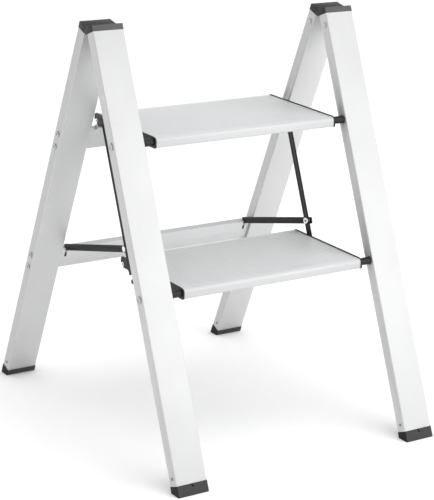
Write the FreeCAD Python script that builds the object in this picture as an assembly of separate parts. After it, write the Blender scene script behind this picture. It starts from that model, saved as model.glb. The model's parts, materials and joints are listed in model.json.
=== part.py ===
import FreeCAD, Part
import math
import os

# Folding two-step stool, drawn open. Millimetres, +Z up, X across the stool,
# -Y towards the person stepping on. The front and rear frames lean apart from
# an apex line at the top and fold together about a hinge just below it.

# Frames
apex_height = 616.0        # where the facing sides of the two frames would meet
front_lean = 23.3          # degrees from vertical
rear_lean = 21.6
fold_gap = 6.0             # space left between the rails when folded
rail_width = 50.0
rail_depth = 18.0
rail_wall = 1.5
rail_corner = 1.2
outer_half = 229.0         # half of the width over the rails
inner_half = outer_half - rail_width
rail_middle = rail_depth / 2
fit = 0.05                 # radial clearance of pins and rivets in their holes

# Top caps, distances measured down the rail from the apex
cap_end = 12.4
cap_top = 620.0
cap_valley = 616.4         # the tops slope down to here between the two caps
cap_plug_end = 46.0
cap_rivet = 29.0
knuckle_radius = 4.6
hinge_pin_radius = 2.5
outer_knuckle = 11.0
hinge_pin_cover = 4.0      # plastic left over both ends of the moulded-in pin

# Feet
front_foot_start = 662.0
rear_foot_start = 652.4
foot_proud = 0.6
foot_plug = 27.0
foot_pin_up = 10.7
slit_width = 2.2
slit_cut = 2.6             # how far the slit goes into the foot
slit_depth = 5.0

# Treads, positions measured from the axle centre in the nose
upper_axle = 176.8
lower_axle = 396.4
tread_half = 158.0
end_cap_thickness = 2.5
end_cap_proud = 0.6
end_cap_lip = 1.1          # the top edge stands a little higher
cap_screw_room = 4.6       # radius of the bite around the screw at the rear corner
tread_above = 6.4
tread_below = 8.1
tread_front = 6.5
tread_back = 168.4
nose_round = 5.0
nose_low_round = 1.9
rear_round = 3.0
rear_low_round = 3.7
axle_radius = 4.0
link_pin_back = 132.0
link_pin_drop = 3.0
cap_screw_place = (tread_back - rear_low_round, rear_low_round - tread_below)

# Links and struts
bar_width = 10.4
bar_thickness = 2.5
link_inner = 163.6
strut_inner = 167.3
link_tail = 8.0
strut_up_link = 32.0
strut_nose = 8.0
strut_rear = 414.6
bar_pin_radius = 3.0
rivet_head_radius = 5.2
rivet_tail_radius = 4.5

# Crossbars
crossbar_height = 36.0
crossbar_depth = 9.0
crossbar_wall = 1.6
upper_crossbar_middle = 203.6
lower_crossbar_middle = 431.6
crossbar_screw_spread = 11.0
crossbar_screw_bite = 6.5  # stops short of the notch
notch_length = 16.5
notch_width = 4.0
nick_length = 2.5          # the upper crossbar has only a shallow nick
nick_width = 6.0

front_angle = math.radians(front_lean)
rear_angle = math.radians(rear_lean)


def floor_reach(angle, out):
    # Horizontal distance from the apex to where a rail's outer side meets the floor.
    down = (apex_height + out * math.sin(angle)) / math.cos(angle)
    return down * math.sin(angle) + out * math.cos(angle)


foot_out = rail_depth + foot_proud
apex_y = (floor_reach(front_angle, foot_out) - floor_reach(rear_angle, foot_out)) / 2


def front_point(down, out):
    # Point in the Y-Z plane: down the front rail from the apex, out from its rear side.
    y = apex_y - down * math.sin(front_angle) - out * math.cos(front_angle)
    z = apex_height - down * math.cos(front_angle) + out * math.sin(front_angle)
    return y, z


def rear_point(down, out):
    # The same for the rear rail, measured from its front side.
    y = apex_y + down * math.sin(rear_angle) + out * math.cos(rear_angle)
    z = apex_height - down * math.cos(rear_angle) + out * math.sin(rear_angle)
    return y, z


def prism(points, x_low, x_high):
    corners = [FreeCAD.Vector(x_low, y, z) for y, z in points]
    corners.append(corners[0])
    face = Part.Face(Part.makePolygon(corners))
    return face.extrude(FreeCAD.Vector(x_high - x_low, 0, 0))


def rod(centre, radius, x_low, x_high):
    start = FreeCAD.Vector(x_low, centre[0], centre[1])
    return Part.makeCylinder(radius, x_high - x_low, start, FreeCAD.Vector(1, 0, 0))


def beam(point, down_a, down_b, out_a, out_b, x_low, x_high):
    corners = [point(down_a, out_a), point(down_b, out_a), point(down_b, out_b), point(down_a, out_b)]
    return prism(corners, x_low, x_high)


def along(shape, direction):
    # Edges of a shape that run along a direction.
    chosen = []
    for edge in shape.Edges:
        if len(edge.Vertexes) == 2 and abs(abs(edge.tangentAt(edge.FirstParameter) * direction) - 1) < 1e-6:
            chosen.append(edge)
    return chosen


def mirrored(shape):
    return shape.mirror(FreeCAD.Vector(0, 0, 0), FreeCAD.Vector(1, 0, 0))


def both_sides(shape):
    return Part.makeCompound([mirrored(shape), shape])


def save(shape, name):
    shape.exportStep("parts/" + name + ".step")


def save_pair(shape, left_name, right_name):
    save(mirrored(shape), left_name)
    save(shape, right_name)


os.makedirs("parts", exist_ok=True)

front_down = FreeCAD.Vector(0, -math.sin(front_angle), -math.cos(front_angle))
rear_down = FreeCAD.Vector(0, math.sin(rear_angle), -math.cos(rear_angle))

# The hinge axis lies the same distance from both facing sides.
half_opening = (front_angle + rear_angle) / 2
hinge_drop = fold_gap / 2 / math.sin(half_opening)
bisector = (rear_angle - front_angle) / 2
hinge = (apex_y + hinge_drop * math.sin(bisector), apex_height - hinge_drop * math.cos(bisector))

upper_axle_place = front_point(upper_axle, rail_middle)
lower_axle_place = front_point(lower_axle, rail_middle)


# Rails: square-cut rectangular tubes
def rail(point, down, start, end):
    outside = beam(point, start, end, 0, rail_depth, inner_half, outer_half)
    outside = outside.makeFillet(rail_corner, along(outside, down))
    bore = beam(
        point, start - 1, end + 1, rail_wall, rail_depth - rail_wall, inner_half + rail_wall, outer_half - rail_wall
    )
    return outside.cut(bore)


front_rail = rail(front_point, front_down, cap_end, front_foot_start)
front_pin_place = front_point(front_foot_start - foot_pin_up, rail_middle)
front_rivet_place = front_point(cap_rivet, rail_middle)
for place, radius in (
    (upper_axle_place, axle_radius),
    (lower_axle_place, axle_radius),
    (front_pin_place, 1.5),
):
    front_rail = front_rail.cut(rod(place, radius + fit, inner_half - 1, outer_half + 1))
front_rail = front_rail.cut(rod(front_rivet_place, 2.5 + fit, inner_half - 1, inner_half + 5))
save_pair(front_rail, "front_left_rail", "front_right_rail")

rear_rail = rail(rear_point, rear_down, cap_end, rear_foot_start)
rear_pin_place = rear_point(rear_foot_start - foot_pin_up, rail_middle)
rear_rivet_place = rear_point(cap_rivet, rail_middle)
crossbar_screws = []
for middle in (upper_crossbar_middle, lower_crossbar_middle):
    pair = [rear_point(middle - crossbar_screw_spread, rail_middle)]
    pair.append(rear_point(middle + crossbar_screw_spread, rail_middle))
    crossbar_screws.append(pair)
rear_rail = rear_rail.cut(rod(rear_pin_place, 1.5 + fit, inner_half - 1, outer_half + 1))
rear_rail = rear_rail.cut(rod(rear_rivet_place, 2.5 + fit, inner_half - 1, inner_half + 5))
for pair in crossbar_screws:
    for place in pair:
        rear_rail = rear_rail.cut(rod(place, 2.5 + fit, inner_half - 1, outer_half + 1))
save_pair(rear_rail, "rear_left_rail", "rear_right_rail")


# Hinge caps: a block on the rail end with a plug inside the tube and knuckles on the hinge
def cap_block(point, angle, side):
    top_down = (apex_height + rail_depth * math.sin(angle) - cap_top) / math.cos(angle)
    corners = [(apex_y + side * 0.4, cap_valley)]
    corners.append(point(top_down, rail_depth))
    corners.append(point(cap_end, rail_depth))
    corners.append(point(cap_end, 0))
    corners.append(hinge)
    corners.append((apex_y + side * 0.4, hinge[1] + 1))
    return prism(corners, inner_half, outer_half)


def cap_plug(point):
    gap = rail_wall + 0.15
    return beam(point, cap_end - 3, cap_plug_end, gap, rail_depth - gap, inner_half + gap, outer_half - gap)


middle_low = inner_half + outer_knuckle
middle_high = outer_half - outer_knuckle
relief = knuckle_radius + 0.45

front_cap = cap_block(front_point, front_angle, -1)
front_cap = front_cap.cut(rod(hinge, relief, middle_low, middle_high))
front_cap = front_cap.fuse(cap_plug(front_point).cut(rod(hinge, relief, middle_low, middle_high)))
for x_low, x_high in ((inner_half, middle_low), (middle_high, outer_half)):
    front_cap = front_cap.fuse(rod(hinge, knuckle_radius, x_low, x_high))
pin_low = inner_half + hinge_pin_cover
pin_high = outer_half - hinge_pin_cover
front_cap = front_cap.cut(rod(hinge, hinge_pin_radius + 0.02, pin_low - 0.2, pin_high + 0.2))
front_cap = front_cap.cut(rod(front_rivet_place, 2.5 + fit, inner_half - 1, inner_half + 9))
save_pair(front_cap.removeSplitter(), "front_left_hinge_cap", "front_right_hinge_cap")

rear_cap = cap_block(rear_point, rear_angle, 1).fuse(cap_plug(rear_point))
for x_low, x_high in ((inner_half - 1, middle_low + 0.3), (middle_high - 0.3, outer_half + 1)):
    rear_cap = rear_cap.cut(rod(hinge, relief, x_low, x_high))
rear_cap = rear_cap.fuse(rod(hinge, knuckle_radius, middle_low + 0.3, middle_high - 0.3))
rear_cap = rear_cap.cut(rod(hinge, hinge_pin_radius + fit, pin_low, pin_high))
rear_cap = rear_cap.cut(rod(rear_rivet_place, 2.5 + fit, inner_half - 1, inner_half + 9))
save_pair(rear_cap.removeSplitter(), "rear_left_hinge_cap", "rear_right_hinge_cap")

save_pair(rod(hinge, hinge_pin_radius, pin_low, pin_high), "left_hinge_pin", "right_hinge_pin")


# Blind rivets that hold the caps, on the inner side of each rail
def cap_rivet_shape(place):
    head = rod(place, 4.0, inner_half - 1.3, inner_half)
    return head.fuse(rod(place, 2.5, inner_half, inner_half + 7)).removeSplitter()


save(both_sides(cap_rivet_shape(front_rivet_place)), "front_hinge_cap_rivets")
save(both_sides(cap_rivet_shape(rear_rivet_place)), "rear_hinge_cap_rivets")


# Feet: a wedge under the rail end with a flat sole, a plug in the tube and a cross pin
def foot(point, angle, down, start, pin_place):
    near = -foot_proud
    corners = [point(start, near), point(start, foot_out)]
    for out in (foot_out, near):
        sole_down = (apex_height + out * math.sin(angle)) / math.cos(angle)
        corners.append(point(sole_down, out))
    block = prism(corners, inner_half - foot_proud, outer_half + foot_proud)
    block = block.makeFillet(rail_corner + 0.4, along(block, down))
    gap = rail_wall + 0.15
    plug = beam(point, start - foot_plug, start + 1, gap, rail_depth - gap, inner_half + gap, outer_half - gap)
    shape = block.fuse(plug)
    return shape.cut(rod(pin_place, 1.5 + fit, inner_half - 1, outer_half + 1)).removeSplitter()


def foot_slit(point, start, middle):
    # A slanting slit in the top edge of a foot's outer side, leaning the same way on both sides.
    corners = []
    for x, down in ((-3.0, -0.5), (-3.0 + slit_width, -0.5), (0.6 + slit_width, slit_depth), (0.6, slit_depth)):
        y, z = point(start + down, foot_out - slit_cut)
        corners.append(FreeCAD.Vector(middle + x, y, z))
    corners.append(corners[0])
    y_out, z_out = point(start, foot_out + 1)
    y_in, z_in = point(start, foot_out - slit_cut)
    face = Part.Face(Part.makePolygon(corners))
    return face.extrude(FreeCAD.Vector(0, y_out - y_in, z_out - z_in))


def foot_pin(place):
    pin = rod(place, 1.5, inner_half, outer_half)
    for x_low in (inner_half - 0.5, outer_half):
        pin = pin.fuse(rod(place, 2.3, x_low, x_low + 0.5))
    return pin.removeSplitter()


rail_centre = (inner_half + outer_half) / 2
front_foot = foot(front_point, front_angle, front_down, front_foot_start, front_pin_place)
save(mirrored(front_foot).cut(foot_slit(front_point, front_foot_start, -rail_centre)), "front_left_foot")
save(front_foot.cut(foot_slit(front_point, front_foot_start, rail_centre)), "front_right_foot")
rear_foot = foot(rear_point, rear_angle, rear_down, rear_foot_start, rear_pin_place)
save(mirrored(rear_foot).cut(foot_slit(rear_point, rear_foot_start, -rail_centre)), "rear_left_foot")
save(rear_foot.cut(foot_slit(rear_point, rear_foot_start, rail_centre)), "rear_right_foot")
save(both_sides(foot_pin(front_pin_place)), "front_foot_pins")
save(both_sides(foot_pin(rear_pin_place)), "rear_foot_pins")


# Axles: steel rods through both front rails and the tread nose, headed at both ends
def axle(place):
    shaft = rod(place, axle_radius, -outer_half, outer_half)
    for side, x_low in ((-1, -outer_half - 1.8), (1, outer_half)):
        shaft = shaft.fuse(rod(place, 5.2, x_low, x_low + 1.8))
        recess = rod(place, 2.6, outer_half + 0.7, outer_half + 3)
        shaft = shaft.cut(recess if side > 0 else mirrored(recess))
    return shaft.removeSplitter()


def bush(place):
    low = tread_half + end_cap_thickness + 0.4
    start = FreeCAD.Vector(low, place[0], place[1])
    body = Part.makeCone(5.3, 6.2, inner_half - low, start, FreeCAD.Vector(1, 0, 0))
    return body.cut(rod(place, axle_radius + fit, low - 1, inner_half + 1))


for name, place in (("upper", upper_axle_place), ("lower", lower_axle_place)):
    save(axle(place), name + "_axle_rod")
    save(both_sides(bush(place)), name + "_axle_bushes")

# Bumpers on the rear side of the front rails
bumper_place = front_point(368.9, 0)
bumper_start = FreeCAD.Vector(outer_half - 4.2, bumper_place[0], bumper_place[1])
bumper_axis = FreeCAD.Vector(0, math.cos(front_angle), -math.sin(front_angle))
bumper = Part.makeCylinder(4.0, fold_gap - 0.5, bumper_start, bumper_axis)
save(both_sides(bumper), "fold_bumpers")


# Treads: one hollow extrusion each, ribbed on top, with the axle in the nose
def outline(extra):
    # Closed outline around the axle centre, rounded at four corners and grown by extra.
    corners = (
        (nose_round - tread_front, tread_above - nose_round, nose_round, 90),
        (nose_low_round - tread_front, nose_low_round - tread_below, nose_low_round, 180),
        (tread_back - rear_low_round, rear_low_round - tread_below, rear_low_round, 270),
        (tread_back - rear_round, tread_above - rear_round, rear_round, 0),
    )
    arcs = []
    for y, z, radius, turn in corners:
        points = []
        for step in (0, 45, 90):
            angle = math.radians(turn + step)
            reach = radius + extra
            points.append(FreeCAD.Vector(0, y + reach * math.cos(angle), z + reach * math.sin(angle)))
        arcs.append(points)
    edges = []
    for i, points in enumerate(arcs):
        edges.append(Part.Arc(points[0], points[1], points[2]).toShape())
        edges.append(Part.makeLine(points[2], arcs[(i + 1) % 4][0]))
    return Part.Face(Part.Wire(edges))


groove_first = 11.0
groove_pitch = 6.0
groove_count = 25
groove_width = 1.6
groove_depth = 0.4
hollows = ((20.0, 46.0), (48.0, 74.0), (76.0, 98.0), (100.0, 122.0), (138.0, 154.0))
hollow_floor = -6.4
hollow_height = 10.4


def tread(place):
    shape = outline(0).extrude(FreeCAD.Vector(2 * tread_half, 0, 0))
    shape.translate(FreeCAD.Vector(-tread_half, 0, 0))
    tools = []
    for i in range(groove_count):
        y_low = groove_first + i * groove_pitch
        groove = Part.makeBox(2 * tread_half + 2, groove_width, 2.0)
        groove.translate(FreeCAD.Vector(-tread_half - 1, y_low, tread_above - groove_depth))
        tools.append(groove)
    for y_low, y_high in hollows:
        hollow = Part.makeBox(2 * tread_half + 2, y_high - y_low, hollow_height)
        hollow.translate(FreeCAD.Vector(-tread_half - 1, y_low, hollow_floor))
        tools.append(hollow)
    tools.append(rod((0, 0), axle_radius + fit, -tread_half - 1, tread_half + 1))
    for x_low in (-tread_half - 1, tread_half - 24):
        tools.append(rod((link_pin_back, -link_pin_drop), bar_pin_radius + fit, x_low, x_low + 25))
        tools.append(rod(cap_screw_place, 1.8 + fit, x_low, x_low + 25))
    shape = shape.cut(tools)
    shape.translate(FreeCAD.Vector(0, place[0], place[1]))
    return shape


def end_cap(place):
    # A thin plate with plugs in two hollows, cut away around the screw at the rear corner.
    shape = outline(end_cap_proud).extrude(FreeCAD.Vector(end_cap_thickness, 0, 0))
    lip = Part.makeBox(end_cap_thickness, tread_back - rear_round, tread_above + end_cap_lip)
    shape = shape.fuse(lip)
    shape.translate(FreeCAD.Vector(tread_half, 0, 0))
    for y_low, y_high in (hollows[0], hollows[3]):
        plug = Part.makeBox(13, y_high - y_low - 0.3, hollow_height - 0.3)
        plug.translate(FreeCAD.Vector(tread_half - 12, y_low + 0.15, hollow_floor + 0.15))
        shape = shape.fuse(plug)
    far = tread_half + end_cap_thickness + 1
    shape = shape.cut(rod((0, 0), axle_radius + fit, tread_half - 1, far))
    shape = shape.cut(rod((link_pin_back, -link_pin_drop), bar_pin_radius + fit, tread_half - 1, far))
    shape = shape.cut(rod(cap_screw_place, cap_screw_room, tread_half - 1, far)).removeSplitter()
    shape.translate(FreeCAD.Vector(0, place[0], place[1]))
    return shape


def end_cap_screws(place):
    # Pan-head screws into the tread's end, with a round drive recess.
    centre = (place[0] + cap_screw_place[0], place[1] + cap_screw_place[1])
    shank = rod(centre, 1.8, tread_half - 14, tread_half)
    head = rod(centre, 3.4, tread_half, tread_half + 2.0)
    recess = rod(centre, 1.3, tread_half + 0.9, tread_half + 3)
    screw = shank.fuse(head).cut(recess).removeSplitter()
    return [screw, mirrored(screw)]


def link_pin_place(place):
    return place[0] + link_pin_back, place[1] - link_pin_drop


def link_pin(place):
    centre = link_pin_place(place)
    outside = tread_half + end_cap_thickness
    link_outer = link_inner + bar_thickness
    pin = rod(centre, bar_pin_radius, tread_half - 20, link_outer + 0.15)
    pin = pin.fuse(rod(centre, 4.6, outside, link_inner - 0.15))
    return pin.fuse(rod(centre, 4.6, link_outer + 0.15, link_outer + 0.95)).removeSplitter()


for name, place in (("upper", upper_axle_place), ("lower", lower_axle_place)):
    save(tread(place), name + "_tread")
    save_pair(end_cap(place), name + "_left_end_cap", name + "_right_end_cap")
    save(Part.makeCompound(end_cap_screws(place)), name + "_end_cap_screws")
    save_pair(link_pin(place), name + "_left_link_pin", name + "_right_link_pin")


# Links: flat bars that keep the two treads parallel, one on each side
def bar(start, end, before, after, x_low):
    # A flat bar through two points in the Y-Z plane, running past both of them.
    length = math.hypot(end[0] - start[0], end[1] - start[1])
    uy = (end[0] - start[0]) / length
    uz = (end[1] - start[1]) / length
    half = bar_width / 2
    corners = []
    for run, side in ((-before, half), (length + after, half), (length + after, -half), (-before, -half)):
        corners.append((start[0] + uy * run - uz * side, start[1] + uz * run + uy * side))
    plate = prism(corners, x_low, x_low + bar_thickness)
    return plate.makeFillet(2.2, along(plate, FreeCAD.Vector(1, 0, 0)))


upper_link_place = link_pin_place(upper_axle_place)
lower_link_place = link_pin_place(lower_axle_place)
strut_pin_place = (
    lower_link_place[0] + strut_up_link * math.sin(front_angle),
    lower_link_place[1] + strut_up_link * math.cos(front_angle),
)
link = bar(upper_link_place, lower_link_place, 6.0, link_tail, link_inner)
for place in (upper_link_place, lower_link_place, strut_pin_place):
    link = link.cut(rod(place, bar_pin_radius + fit, link_inner - 1, link_inner + bar_thickness + 1))
save_pair(link, "left_link", "right_link")

# Struts: flat bars from the links back to the lower crossbar
strut_rear_place = rear_point(strut_rear, rail_middle)
strut = bar(strut_pin_place, strut_rear_place, strut_nose, 2.5, strut_inner)
strut = strut.cut(rod(strut_pin_place, bar_pin_radius + fit, strut_inner - 1, strut_inner + bar_thickness + 1))
save_pair(strut, "left_strut", "right_strut")

# Rivet through link, spacer and strut
strut_outer = strut_inner + bar_thickness
rivet = rod(strut_pin_place, bar_pin_radius, link_inner, strut_outer + 0.15)
rivet = rivet.fuse(rod(strut_pin_place, rivet_head_radius, link_inner - 2.0, link_inner))
rivet = rivet.fuse(rod(strut_pin_place, rivet_tail_radius, strut_outer + 0.15, strut_outer + 1.1))
rivet = rivet.cut(rod(strut_pin_place, 1.8, link_inner - 3.0, link_inner - 1.0))
save_pair(rivet.removeSplitter(), "left_strut_rivet", "right_strut_rivet")
link_outer = link_inner + bar_thickness
spacer = rod(strut_pin_place, 5.0, link_outer, strut_inner - 0.15)
spacer = spacer.cut(rod(strut_pin_place, bar_pin_radius + fit, link_outer - 1, strut_inner + 1))
save_pair(spacer, "left_strut_spacer", "right_strut_spacer")


# Crossbars: flat tubes between the rear rails with a cut in the top edge near each end
def crossbar(middle, screws, cut_length, cut_width):
    top = middle - crossbar_height / 2
    base = middle + crossbar_height / 2
    front = rail_middle - crossbar_depth / 2
    back = rail_middle + crossbar_depth / 2
    shape = beam(rear_point, top, base, front, back, -inner_half, inner_half)
    low = front + crossbar_wall
    high = back - crossbar_wall
    tools = []
    edges = (
        top + crossbar_wall,
        screws_down(middle, -1) - 4.2,
        screws_down(middle, -1) + 4.2,
        screws_down(middle, 1) - 4.2,
        screws_down(middle, 1) + 4.2,
        base - crossbar_wall,
    )
    for i in range(0, len(edges), 2):
        tools.append(beam(rear_point, edges[i], edges[i + 1], low, high, -inner_half - 1, inner_half + 1))
    notch_low = strut_inner + bar_thickness / 2 - cut_width / 2
    notch = beam(rear_point, top - 1, top + cut_length, front - 1, back + 1, notch_low, notch_low + cut_width)
    tools += [notch, mirrored(notch)]
    for place in screws:
        hole = rod(place, 2.5 + fit, inner_half - crossbar_screw_bite - 0.3, inner_half + 1)
        tools += [hole, mirrored(hole)]
    return shape.cut(tools)


def screws_down(middle, side):
    return middle + side * crossbar_screw_spread


def crossbar_screw(place):
    shank = rod(place, 2.5, inner_half - crossbar_screw_bite, outer_half)
    return shank.fuse(rod(place, 4.2, outer_half, outer_half + 1.6)).removeSplitter()


save(crossbar(upper_crossbar_middle, crossbar_screws[0], nick_length, nick_width), "upper_crossbar")
save(crossbar(lower_crossbar_middle, crossbar_screws[1], notch_length, notch_width), "lower_crossbar")
for name, pair in zip(("upper", "lower"), crossbar_screws):
    screws = [crossbar_screw(place) for place in pair]
    screws += [mirrored(screw) for screw in screws]
    save(Part.makeCompound(screws), name + "_crossbar_screws")
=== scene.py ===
import json
import math

import bmesh
import bpy
from mathutils import Matrix, Vector


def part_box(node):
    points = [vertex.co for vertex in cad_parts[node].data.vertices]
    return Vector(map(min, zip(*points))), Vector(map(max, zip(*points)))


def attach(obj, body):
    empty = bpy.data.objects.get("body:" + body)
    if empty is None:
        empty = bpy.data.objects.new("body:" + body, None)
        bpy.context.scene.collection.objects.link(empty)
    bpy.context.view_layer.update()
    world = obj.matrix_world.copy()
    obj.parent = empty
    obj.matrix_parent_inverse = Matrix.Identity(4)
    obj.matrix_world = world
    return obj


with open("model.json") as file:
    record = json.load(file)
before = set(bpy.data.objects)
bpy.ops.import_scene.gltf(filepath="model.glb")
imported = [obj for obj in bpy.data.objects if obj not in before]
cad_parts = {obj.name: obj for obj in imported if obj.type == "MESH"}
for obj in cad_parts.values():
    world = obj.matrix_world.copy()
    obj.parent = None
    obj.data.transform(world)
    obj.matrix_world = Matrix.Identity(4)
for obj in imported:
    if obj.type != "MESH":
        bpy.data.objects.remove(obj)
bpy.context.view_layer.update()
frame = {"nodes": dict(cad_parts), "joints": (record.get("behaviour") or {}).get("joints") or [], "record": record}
nodes = frame["nodes"]
joints = {joint["name"]: Vector(joint["pos_m"]) for joint in frame["joints"]}
slots = {part["node"]: part["material_slot"] for part in frame["record"]["subparts"]}
scene = bpy.context.scene

MM = 0.001


def middle(name):
    low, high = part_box(name)
    return (low + high) / 2


# The directions down the two frames, from the joints and the crossbar screws, and their leans from Z
front_down = (joints["lower_step_fold"] - joints["upper_step_fold"]).normalized()
rear_down = (middle("lower_crossbar_screws") - middle("upper_crossbar_screws")).normalized()
front_lean = math.atan2(-front_down.y, -front_down.z)
rear_lean = math.atan2(-rear_down.y, -rear_down.z)


# ---------------------------------------------------------------- materials
COLOUR_A, COLOUR_B, COLOUR_OUT = 6, 7, 2     # the colour sockets of a Mix node
LINES_UP = (900, 900, 5)                     # features to the metre, drawn out along Z
LINES_ACROSS = (5, 900, 900)                 # drawn out along X
BLACK = (0.006, 0.006, 0.0065)


def shade(colour, share):
    return tuple(part * share for part in colour)


class Look:
    """A node material with a Principled shader."""

    def __init__(self, name, **values):
        self.material = bpy.data.materials.new(name)
        self.material.use_nodes = True
        self.tree = self.material.node_tree
        self.shader = self.tree.nodes["Principled BSDF"]
        for key, value in values.items():
            self.shader.inputs[key.replace("_", " ")].default_value = value

    def node(self, kind, **values):
        """A new node. A value goes to the node's own setting, or else to the input of that name."""
        made = self.tree.nodes.new("ShaderNode" + kind)
        for key, value in values.items():
            if hasattr(made, key):
                setattr(made, key, value)
            elif isinstance(value, bpy.types.NodeSocket):
                self.tree.links.new(value, made.inputs[key.replace("_", " ")])
            else:
                made.inputs[key.replace("_", " ")].default_value = value
        return made

    def place(self, lean=0.0, scale=(1, 1, 1)):
        """Object coordinates turned about X, then scaled.

        Known fault: Z comes to lie at twice the lean from a leaning rail. Angle=lean would put it
        along the rail.
        """
        coordinates = self.node("TexCoord").outputs["Object"]
        turned = self.node("VectorRotate", rotation_type="X_AXIS", Vector=coordinates, Angle=-lean)
        return self.node("Mapping", Vector=turned.outputs[0], Scale=scale).outputs[0]

    def noise(self, vector, per_metre, detail=2.0, rough=0.5):
        made = self.node("TexNoise", Vector=vector, Scale=per_metre, Detail=detail, Roughness=rough)
        return made.outputs["Fac"]

    def spread(self, value, low, high, start=0.3, end=0.7):
        """Goes from low to high while the value goes from start to end."""
        made = self.node("MapRange", Value=value, From_Min=start, From_Max=end, To_Min=low, To_Max=high)
        return made.outputs[0]

    def facing(self, axis, start, end):
        """1 on faces turned along an axis of the object, 0 on the others."""
        normal = self.node("TexCoord").outputs["Normal"]
        along = self.node("SeparateXYZ", Vector=normal).outputs[axis]
        either_way = self.node("Math", operation="ABSOLUTE", Value=along)
        return self.spread(either_way.outputs[0], 0.0, 1.0, start, end)

    def mix(self, share, first, second):
        """From one colour, or a socket that gives one, to another colour."""
        made = self.node("Mix", data_type="RGBA")
        self.tree.links.new(share, made.inputs[0])
        if isinstance(first, bpy.types.NodeSocket):
            self.tree.links.new(first, made.inputs[COLOUR_A])
        else:
            made.inputs[COLOUR_A].default_value = (*first, 1)
        made.inputs[COLOUR_B].default_value = (*second, 1)
        return made.outputs[COLOUR_OUT]

    def bump(self, height, depth, before=None):
        """A normal bumped to a depth in metres, on top of another bump where one is given."""
        made = self.node("Bump", Height=height, Strength=1.0, Distance=depth)
        if before is not None:
            self.tree.links.new(before, made.inputs["Normal"])
        return made.outputs[0]

    def to(self, key, socket):
        self.tree.links.new(socket, self.shader.inputs[key])


def aluminium(name, lean, scale, base, rough=0.48, metal=0.85, painted_front_shade=None, painted_side_shade=None):
    """Satin anodised extrusion: fine die lines, an etched grain and faint cloudiness.

    A darker colour given for the faces turned along Y is painted shade on them, and another for the faces turned
    along X is painted shade on those.
    """
    look = Look(name, Metallic=metal)
    flat = look.place()
    lines = look.noise(look.place(lean, scale), per_metre=1.0, detail=3.0, rough=0.6)
    grain = look.noise(flat, per_metre=2600.0)
    cloud = look.noise(flat, per_metre=9.0, detail=3.0)
    colour = look.mix(look.spread(cloud, 0.0, 1.0), shade(base, 0.95), base)
    # Painted shade: faces turned along Y and along X get a darker colour than the rest of the extrusion.
    if painted_front_shade is not None:
        colour = look.mix(look.facing("Y", start=0.2, end=0.8), colour, painted_front_shade)
    if painted_side_shade is not None:
        colour = look.mix(look.facing("X", start=0.6, end=0.85), colour, painted_side_shade)
    look.to("Base Color", colour)
    look.to("Roughness", look.spread(lines, rough, rough + 0.1))
    fine = look.bump(grain, depth=0.006 * MM)
    look.to("Normal", look.bump(lines, depth=0.015 * MM, before=fine))
    return look.material


def plastic(name, base, rough, grain_size, grain_height, face=None, gloss=0.35):
    """Moulded plastic with a spark-eroded grain; a lighter colour given as face is painted light on the front and
    rear faces.
    """
    look = Look(name, Specular_IOR_Level=gloss)
    flat = look.place()
    grain = look.noise(flat, per_metre=1 / grain_size, detail=3.0, rough=0.6)
    cloud = look.noise(flat, per_metre=60.0, detail=3.0)
    colour = look.mix(look.spread(cloud, 0.0, 1.0), base, shade(base, 1.3))
    if face is not None:
        # Painted light: faces turned along Y get the lighter face colour.
        colour = look.mix(look.facing("Y", start=0.6, end=0.85), colour, face)
    look.to("Base Color", colour)
    look.to("Roughness", look.spread(grain, rough - 0.06, rough + 0.06))
    look.to("Normal", look.bump(grain, depth=grain_height))
    return look.material


def powder_coat(name, base):
    """Satin black coat with orange peel."""
    look = Look(name, Specular_IOR_Level=0.28)
    flat = look.place()
    peel = look.noise(flat, per_metre=900.0)
    cloud = look.noise(flat, per_metre=40.0)
    look.to("Base Color", look.mix(look.spread(cloud, 0.0, 1.0), base, shade(base, 1.25)))
    look.to("Roughness", look.spread(peel, 0.36, 0.46))
    look.to("Normal", look.bump(peel, depth=0.02 * MM))
    return look.material


def zinc(name, base, rough):
    """Zinc plate with faint blotches."""
    look = Look(name, Metallic=1.0)
    flat = look.place()
    blotch = look.noise(flat, per_metre=500.0, detail=3.0)
    fine = look.noise(flat, per_metre=3000.0)
    look.to("Base Color", look.mix(look.spread(blotch, 0.0, 1.0), shade(base, 0.85), base))
    look.to("Roughness", look.spread(blotch, rough, rough + 0.14))
    look.to("Normal", look.bump(fine, depth=0.004 * MM))
    return look.material


# Painted light: the rear rails and crossbars are the same aluminium as the front rails, given a lighter base
# colour, and the rear rails' faces turned along X get a darker colour as painted shade.
front_rail_look = aluminium("front rail aluminium", front_lean, LINES_UP, (0.61, 0.612, 0.615))
rear_rail_look = aluminium(
    "rear rail aluminium", rear_lean, LINES_UP, (0.67, 0.672, 0.675), painted_side_shade=(0.55, 0.552, 0.555)
)
crossbar_look = aluminium("crossbar aluminium", rear_lean, LINES_ACROSS, (0.67, 0.675, 0.68))
# The tread fronts, turned along Y, get a darker colour as painted shade.
tread_look = aluminium(
    "tread aluminium", 0.0, LINES_ACROSS, (0.69, 0.70, 0.705),
    rough=0.42, metal=0.4, painted_front_shade=(0.56, 0.565, 0.57),
)
trim_look = plastic("black trim plastic", BLACK, rough=0.42, grain_size=0.45 * MM, grain_height=0.02 * MM)
# The lighter colour on the cap's front and rear faces is painted light.
cap_look = plastic(
    "hinge cap plastic", BLACK, rough=0.44, grain_size=0.45 * MM, grain_height=0.02 * MM,
    face=(0.07, 0.071, 0.072), gloss=0.4,
)
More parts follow.
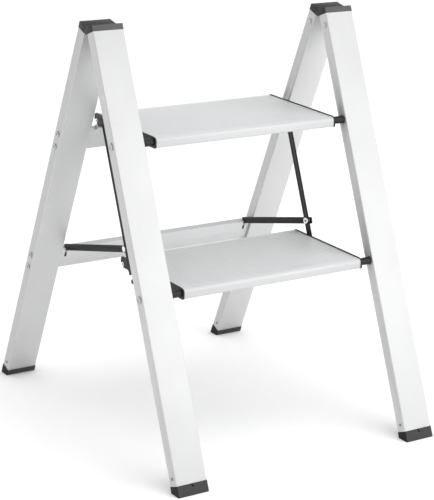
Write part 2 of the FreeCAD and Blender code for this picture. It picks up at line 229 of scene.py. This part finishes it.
# The lighter colour on the foot's front and rear faces is painted light, against near-black sides.
foot_look = plastic(
    "foot plastic", (0.004, 0.004, 0.0045), rough=0.56, grain_size=0.6 * MM, grain_height=0.03 * MM,
    face=(0.04, 0.04, 0.041), gloss=0.25,
)
rubber_look = plastic(
    "bumper rubber", (0.02, 0.02, 0.02), rough=0.7, grain_size=0.3 * MM, grain_height=0.02 * MM
)
coat_look = powder_coat("black powder coat", BLACK)
zinc_look = zinc("zinc plate", (0.93, 0.935, 0.94), rough=0.30)
axle_look = zinc("dull axle ends", (0.60, 0.605, 0.61), rough=0.42)
pin_look = zinc("dark foot pins", (0.26, 0.26, 0.265), rough=0.36)
# Painted shade: a near-black zinc for the drive recesses of rivets and screws.
recess_shade_look = zinc("shaded recesses", (0.10, 0.10, 0.105), rough=0.5)

SLOT_LOOKS = {
    "tread_aluminium": tread_look,
    "black_plastic": trim_look,
    "foot_plastic": foot_look,
    "bumper_rubber": rubber_look,
    "black_steel": coat_look,
    "zinc_steel": zinc_look,
}


def look_of(name, slot):
    if slot == "rail_aluminium":
        if "crossbar" in name:
            return crossbar_look
        return front_rail_look if name.startswith("front") else rear_rail_look
    if name.endswith("hinge_cap"):
        return cap_look
    if name.endswith("foot_pins"):
        return pin_look
    if name.endswith(("axle_rod", "hinge_cap_rivets", "crossbar_screws")):
        return axle_look
    return SLOT_LOOKS[slot]


# ---------------------------------------------------------------- edges of the CAD nodes
JOIN_DISTANCE = 0.002 * MM
FLAT_ANGLE = math.radians(0.3)               # faces that meet at less are merged into one
BEVEL_ANGLE = math.radians(38)               # edges sharper than this are rounded
SMOOTH_ANGLE = math.radians(32)              # edges sharper than this stay sharp in the shading

# Widths of the rounded edges in millimetres. The first key that is in a node's name counts.
EDGE_WIDTHS = (
    ("_rail", 0.25), ("hinge_cap_rivets", 0.7), ("hinge_cap", 0.7), ("_foot_pins", 0.3), ("_foot", 0.8),
    ("axle_rod", 0.9), ("bushes", 0.4), ("bumpers", 0.8), ("crossbar_screws", 0.8), ("crossbar", 0.3),
    ("end_cap_screws", 0.6), ("end_cap", 0.6), ("tread", 0.25), ("link_pin", 0.7), ("strut_rivet", 0.9),
    ("spacer", 0.3), ("_link", 0.3), ("_strut", 0.3), ("pin", 0.3),
)


def geometry_group(name):
    """An empty modifier group, the socket its geometry comes from and the one it goes to."""
    group = bpy.data.node_groups.new(name, "GeometryNodeTree")
    group.interface.new_socket("Geometry", in_out="INPUT", socket_type="NodeSocketGeometry")
    group.interface.new_socket("Geometry", in_out="OUTPUT", socket_type="NodeSocketGeometry")
    start = group.nodes.new("NodeGroupInput")
    end = group.nodes.new("NodeGroupOutput")
    return group, start.outputs[0], end.inputs[0]


def joined_group():
    """Joins the doubled vertices of the loaded mesh and drops its stored normals."""
    group, start, end = geometry_group("join edges")
    merge = group.nodes.new("GeometryNodeMergeByDistance")
    merge.inputs["Distance"].default_value = JOIN_DISTANCE
    drop = group.nodes.new("GeometryNodeRemoveAttribute")
    drop.inputs["Name"].default_value = "custom_normal"
    group.links.new(start, merge.inputs[0])
    group.links.new(merge.outputs[0], drop.inputs[0])
    group.links.new(drop.outputs[0], end)
    return group


def smooth_group():
    """Smooth faces, with the sharper edges kept sharp."""
    group, start, end = geometry_group("smooth faces")
    faces = group.nodes.new("GeometryNodeSetShadeSmooth")
    edges = group.nodes.new("GeometryNodeSetShadeSmooth")
    edges.domain = "EDGE"
    angle = group.nodes.new("GeometryNodeInputMeshEdgeAngle")
    compare = group.nodes.new("FunctionNodeCompare")
    compare.operation = "LESS_THAN"
    compare.inputs[1].default_value = SMOOTH_ANGLE
    group.links.new(start, faces.inputs["Geometry"])
    group.links.new(faces.outputs[0], edges.inputs["Geometry"])
    group.links.new(angle.outputs[0], compare.inputs[0])
    group.links.new(compare.outputs[0], edges.inputs["Shade Smooth"])
    group.links.new(edges.outputs[0], end)
    return group


join_edges = joined_group()
smooth_faces = smooth_group()


def soften(obj, width):
    """Modifiers that join the mesh, merge its flat faces, round its edges and smooth its shading."""
    join = obj.modifiers.new("join", "NODES")
    join.node_group = join_edges
    flat = obj.modifiers.new("flat faces", "DECIMATE")
    flat.decimate_type = "DISSOLVE"
    flat.angle_limit = FLAT_ANGLE
    bevel = obj.modifiers.new("soft edges", "BEVEL")
    bevel.width = width
    bevel.segments = 2
    bevel.limit_method = "ANGLE"
    bevel.angle_limit = BEVEL_ANGLE
    bevel.use_clamp_overlap = True
    smooth = obj.modifiers.new("smooth", "NODES")
    smooth.node_group = smooth_faces


for name, obj in nodes.items():
    obj.data.materials.clear()
    obj.data.materials.append(look_of(name, slots[name]))
    width = next(w for key, w in EDGE_WIDTHS if key in name)
    soften(obj, width * MM)


# ---------------------------------------------------------------- drives of the rivets and screws, dark discs painted as the shade in their recesses
RINGS, AROUND = 5, 24                        # of a disc's mesh
DISH_DEPTH = 0.2                             # of the disc's radius
DOME_DEPTH = -0.02                           # the other way, so the disc is slightly domed
RIVET_RECESS_RADIUS = 1.75 * MM
RIVET_RECESS_INSET = 0.55 * MM               # from the face of the head in to the rim of the dish
SCREW_RECESS_RADIUS = 1.25 * MM
SCREW_RECESS_INSET = 0.60 * MM
SCREW_DISC_RADIUS = 1.5 * MM
SCREW_DISC_PROUD = 0.02 * MM
SCREW_SPREAD = 11.0 * MM                     # from the middle of a pair of crossbar screws


def dished_disc(name, body, centre, radius, side, depth=DISH_DEPTH):
    """A round disc around a centre, facing along X towards side: dished in, or domed out."""
    shape = bmesh.new()
    loops = []
    for ring in range(1, RINGS + 1):
        share = ring / RINGS
        deep = depth * radius * (1 - share * share)
        loop = []
        for step in range(AROUND):
            angle = 2 * math.pi * step / AROUND
            loop.append(shape.verts.new((
                centre.x - side * deep,
                centre.y + share * radius * math.cos(angle),
                centre.z + share * radius * math.sin(angle),
            )))
        loops.append(loop)
    deepest = shape.verts.new((centre.x - side * depth * radius, centre.y, centre.z))
    for step in range(AROUND):
        after = (step + 1) % AROUND
        shape.faces.new((deepest, loops[0][step], loops[0][after]))
        for inner, outer in zip(loops, loops[1:]):
            shape.faces.new((inner[step], outer[step], outer[after], inner[after]))
    bmesh.ops.recalc_face_normals(shape, faces=shape.faces)
    if sum(face.normal.x for face in shape.faces) * side < 0:
        bmesh.ops.reverse_faces(shape, faces=shape.faces)
    data = bpy.data.meshes.new(name)
    shape.to_mesh(data)
    shape.free()
    for face in data.polygons:
        face.use_smooth = True
    # The disc takes the near-black recess look, painted shade.
    data.materials.append(recess_shade_look)
    piece = bpy.data.objects.new(name, data)
    scene.collection.objects.link(piece)
    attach(piece, body)


def end_of(name, side, inset):
    """The middle of a node, taken along X to its end on one side and back in by the inset."""
    low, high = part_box(name)
    end = (low + high) / 2
    end.x = high.x - inset if side > 0 else low.x + inset
    return end


for side, word in ((-1, "left"), (1, "right")):
    dished_disc(
        word + "_rivet_recess", word + "_linkage",
        end_of(word + "_strut_rivet", -side, RIVET_RECESS_INSET), RIVET_RECESS_RADIUS, -side,
    )
    for level in ("upper", "lower"):
        dished_disc(
            f"{level}_{word}_screw_recess", level + "_step",
            end_of(level + "_end_cap_screws", side, SCREW_RECESS_INSET), SCREW_RECESS_RADIUS, side,
        )
    for level in ("upper", "lower"):
        pair = end_of(level + "_crossbar_screws", side, -SCREW_DISC_PROUD)
        for down, screw in ((-1, "upper"), (1, "lower")):
            dished_disc(
                f"{level}_{word}_screw_drive_{screw}", "rear_frame",
                pair + rear_down * down * SCREW_SPREAD, SCREW_DISC_RADIUS, side, DOME_DEPTH,
            )


# ---------------------------------------------------------------- floor, light and camera
FLOOR_REACH = 20.0                           # metres from the middle to each side
HORIZON_HEIGHT, HORIZON_STRENGTH = 0.03, 1.08
UPPER_HEIGHT, UPPER_STRENGTH = 0.30, 0.79    # heights are of a unit direction
KEY_PLACE = Vector((1.9, -2.8, 1.9))
KEY_TARGET = Vector((0.0, 0.0, 0.5))
KEY_SIZE = (3.8, 4.4)
KEY_WATTS = 66.0
OVERHEAD_STRENGTH = 1.2
OVERHEAD_SPREAD = math.radians(70)
OVERHEAD_TILT = (math.radians(8), math.radians(6), 0)
CAMERA_PLACE = (-1.45896, -2.18166, 1.07651)
CAMERA_TURN = (33.8177, 17.4064, 2.2008)     # degrees: yaw, pitch down and roll
SENSOR_WIDTH, LENS = 36.0, 128.47            # millimetres


def floor_look():
    look = Look("pale floor", Roughness=0.9)
    cloud = look.noise(look.place(), per_metre=0.8)
    look.to("Base Color", look.mix(look.spread(cloud, 0.0, 1.0), (0.90, 0.90, 0.90), (0.92, 0.92, 0.92)))
    return look.material


floor_mesh = bpy.data.meshes.new("floor")
grid = bmesh.new()
bmesh.ops.create_grid(grid, x_segments=8, y_segments=8, size=FLOOR_REACH)
grid.to_mesh(floor_mesh)
grid.free()
floor = bpy.data.objects.new("floor", floor_mesh)
scene.collection.objects.link(floor)
floor.data.materials.append(floor_look())

# White near the horizon, so that it meets the floor, and a little darker overhead
world = bpy.data.worlds.new("studio")
scene.world = world
world.use_nodes = True
sky = world.node_tree
background = sky.nodes["Background"]
background.inputs["Color"].default_value = (1.0, 1.0, 1.0, 1)
direction = sky.nodes.new("ShaderNodeTexCoord")
height = sky.nodes.new("ShaderNodeSeparateXYZ")
fade = sky.nodes.new("ShaderNodeMapRange")
fade.inputs["From Min"].default_value = HORIZON_HEIGHT
fade.inputs["From Max"].default_value = UPPER_HEIGHT
fade.inputs["To Min"].default_value = HORIZON_STRENGTH
fade.inputs["To Max"].default_value = UPPER_STRENGTH
sky.links.new(direction.outputs["Generated"], height.inputs[0])
sky.links.new(height.outputs["Z"], fade.inputs["Value"])
sky.links.new(fade.outputs[0], background.inputs["Strength"])


def lamp(name, kind, energy):
    data = bpy.data.lights.new(name, kind)
    data.energy = energy
    made = bpy.data.objects.new(name, data)
    scene.collection.objects.link(made)
    return made


key_lamp = lamp("key", "AREA", KEY_WATTS)
key_lamp.data.shape = "RECTANGLE"
key_lamp.data.size, key_lamp.data.size_y = KEY_SIZE
key_lamp.location = KEY_PLACE
key_lamp.rotation_mode = "QUATERNION"
key_lamp.rotation_quaternion = (KEY_TARGET - KEY_PLACE).to_track_quat("-Z", "Y")

overhead_lamp = lamp("overhead", "SUN", OVERHEAD_STRENGTH)
overhead_lamp.data.angle = OVERHEAD_SPREAD
overhead_lamp.rotation_euler = OVERHEAD_TILT
overhead_lamp.visible_glossy = False

camera_data = bpy.data.cameras.new("camera")
camera_data.sensor_width = SENSOR_WIDTH
camera_data.lens = LENS
camera = bpy.data.objects.new("camera", camera_data)
scene.collection.objects.link(camera)
yaw, pitch, roll = (math.radians(angle) for angle in CAMERA_TURN)
forward = Vector((math.sin(yaw) * math.cos(pitch), math.cos(yaw) * math.cos(pitch), -math.sin(pitch)))
level_right = Vector((math.cos(yaw), -math.sin(yaw), 0.0))
level_up = level_right.cross(forward)
right = level_right * math.cos(roll) + level_up * math.sin(roll)
up = level_up * math.cos(roll) - level_right * math.sin(roll)
turn = Matrix((right, up, -forward)).transposed().to_4x4()
camera.matrix_world = Matrix.Translation(CAMERA_PLACE) @ turn
scene.camera = camera
scene.view_settings.view_transform = "Standard"
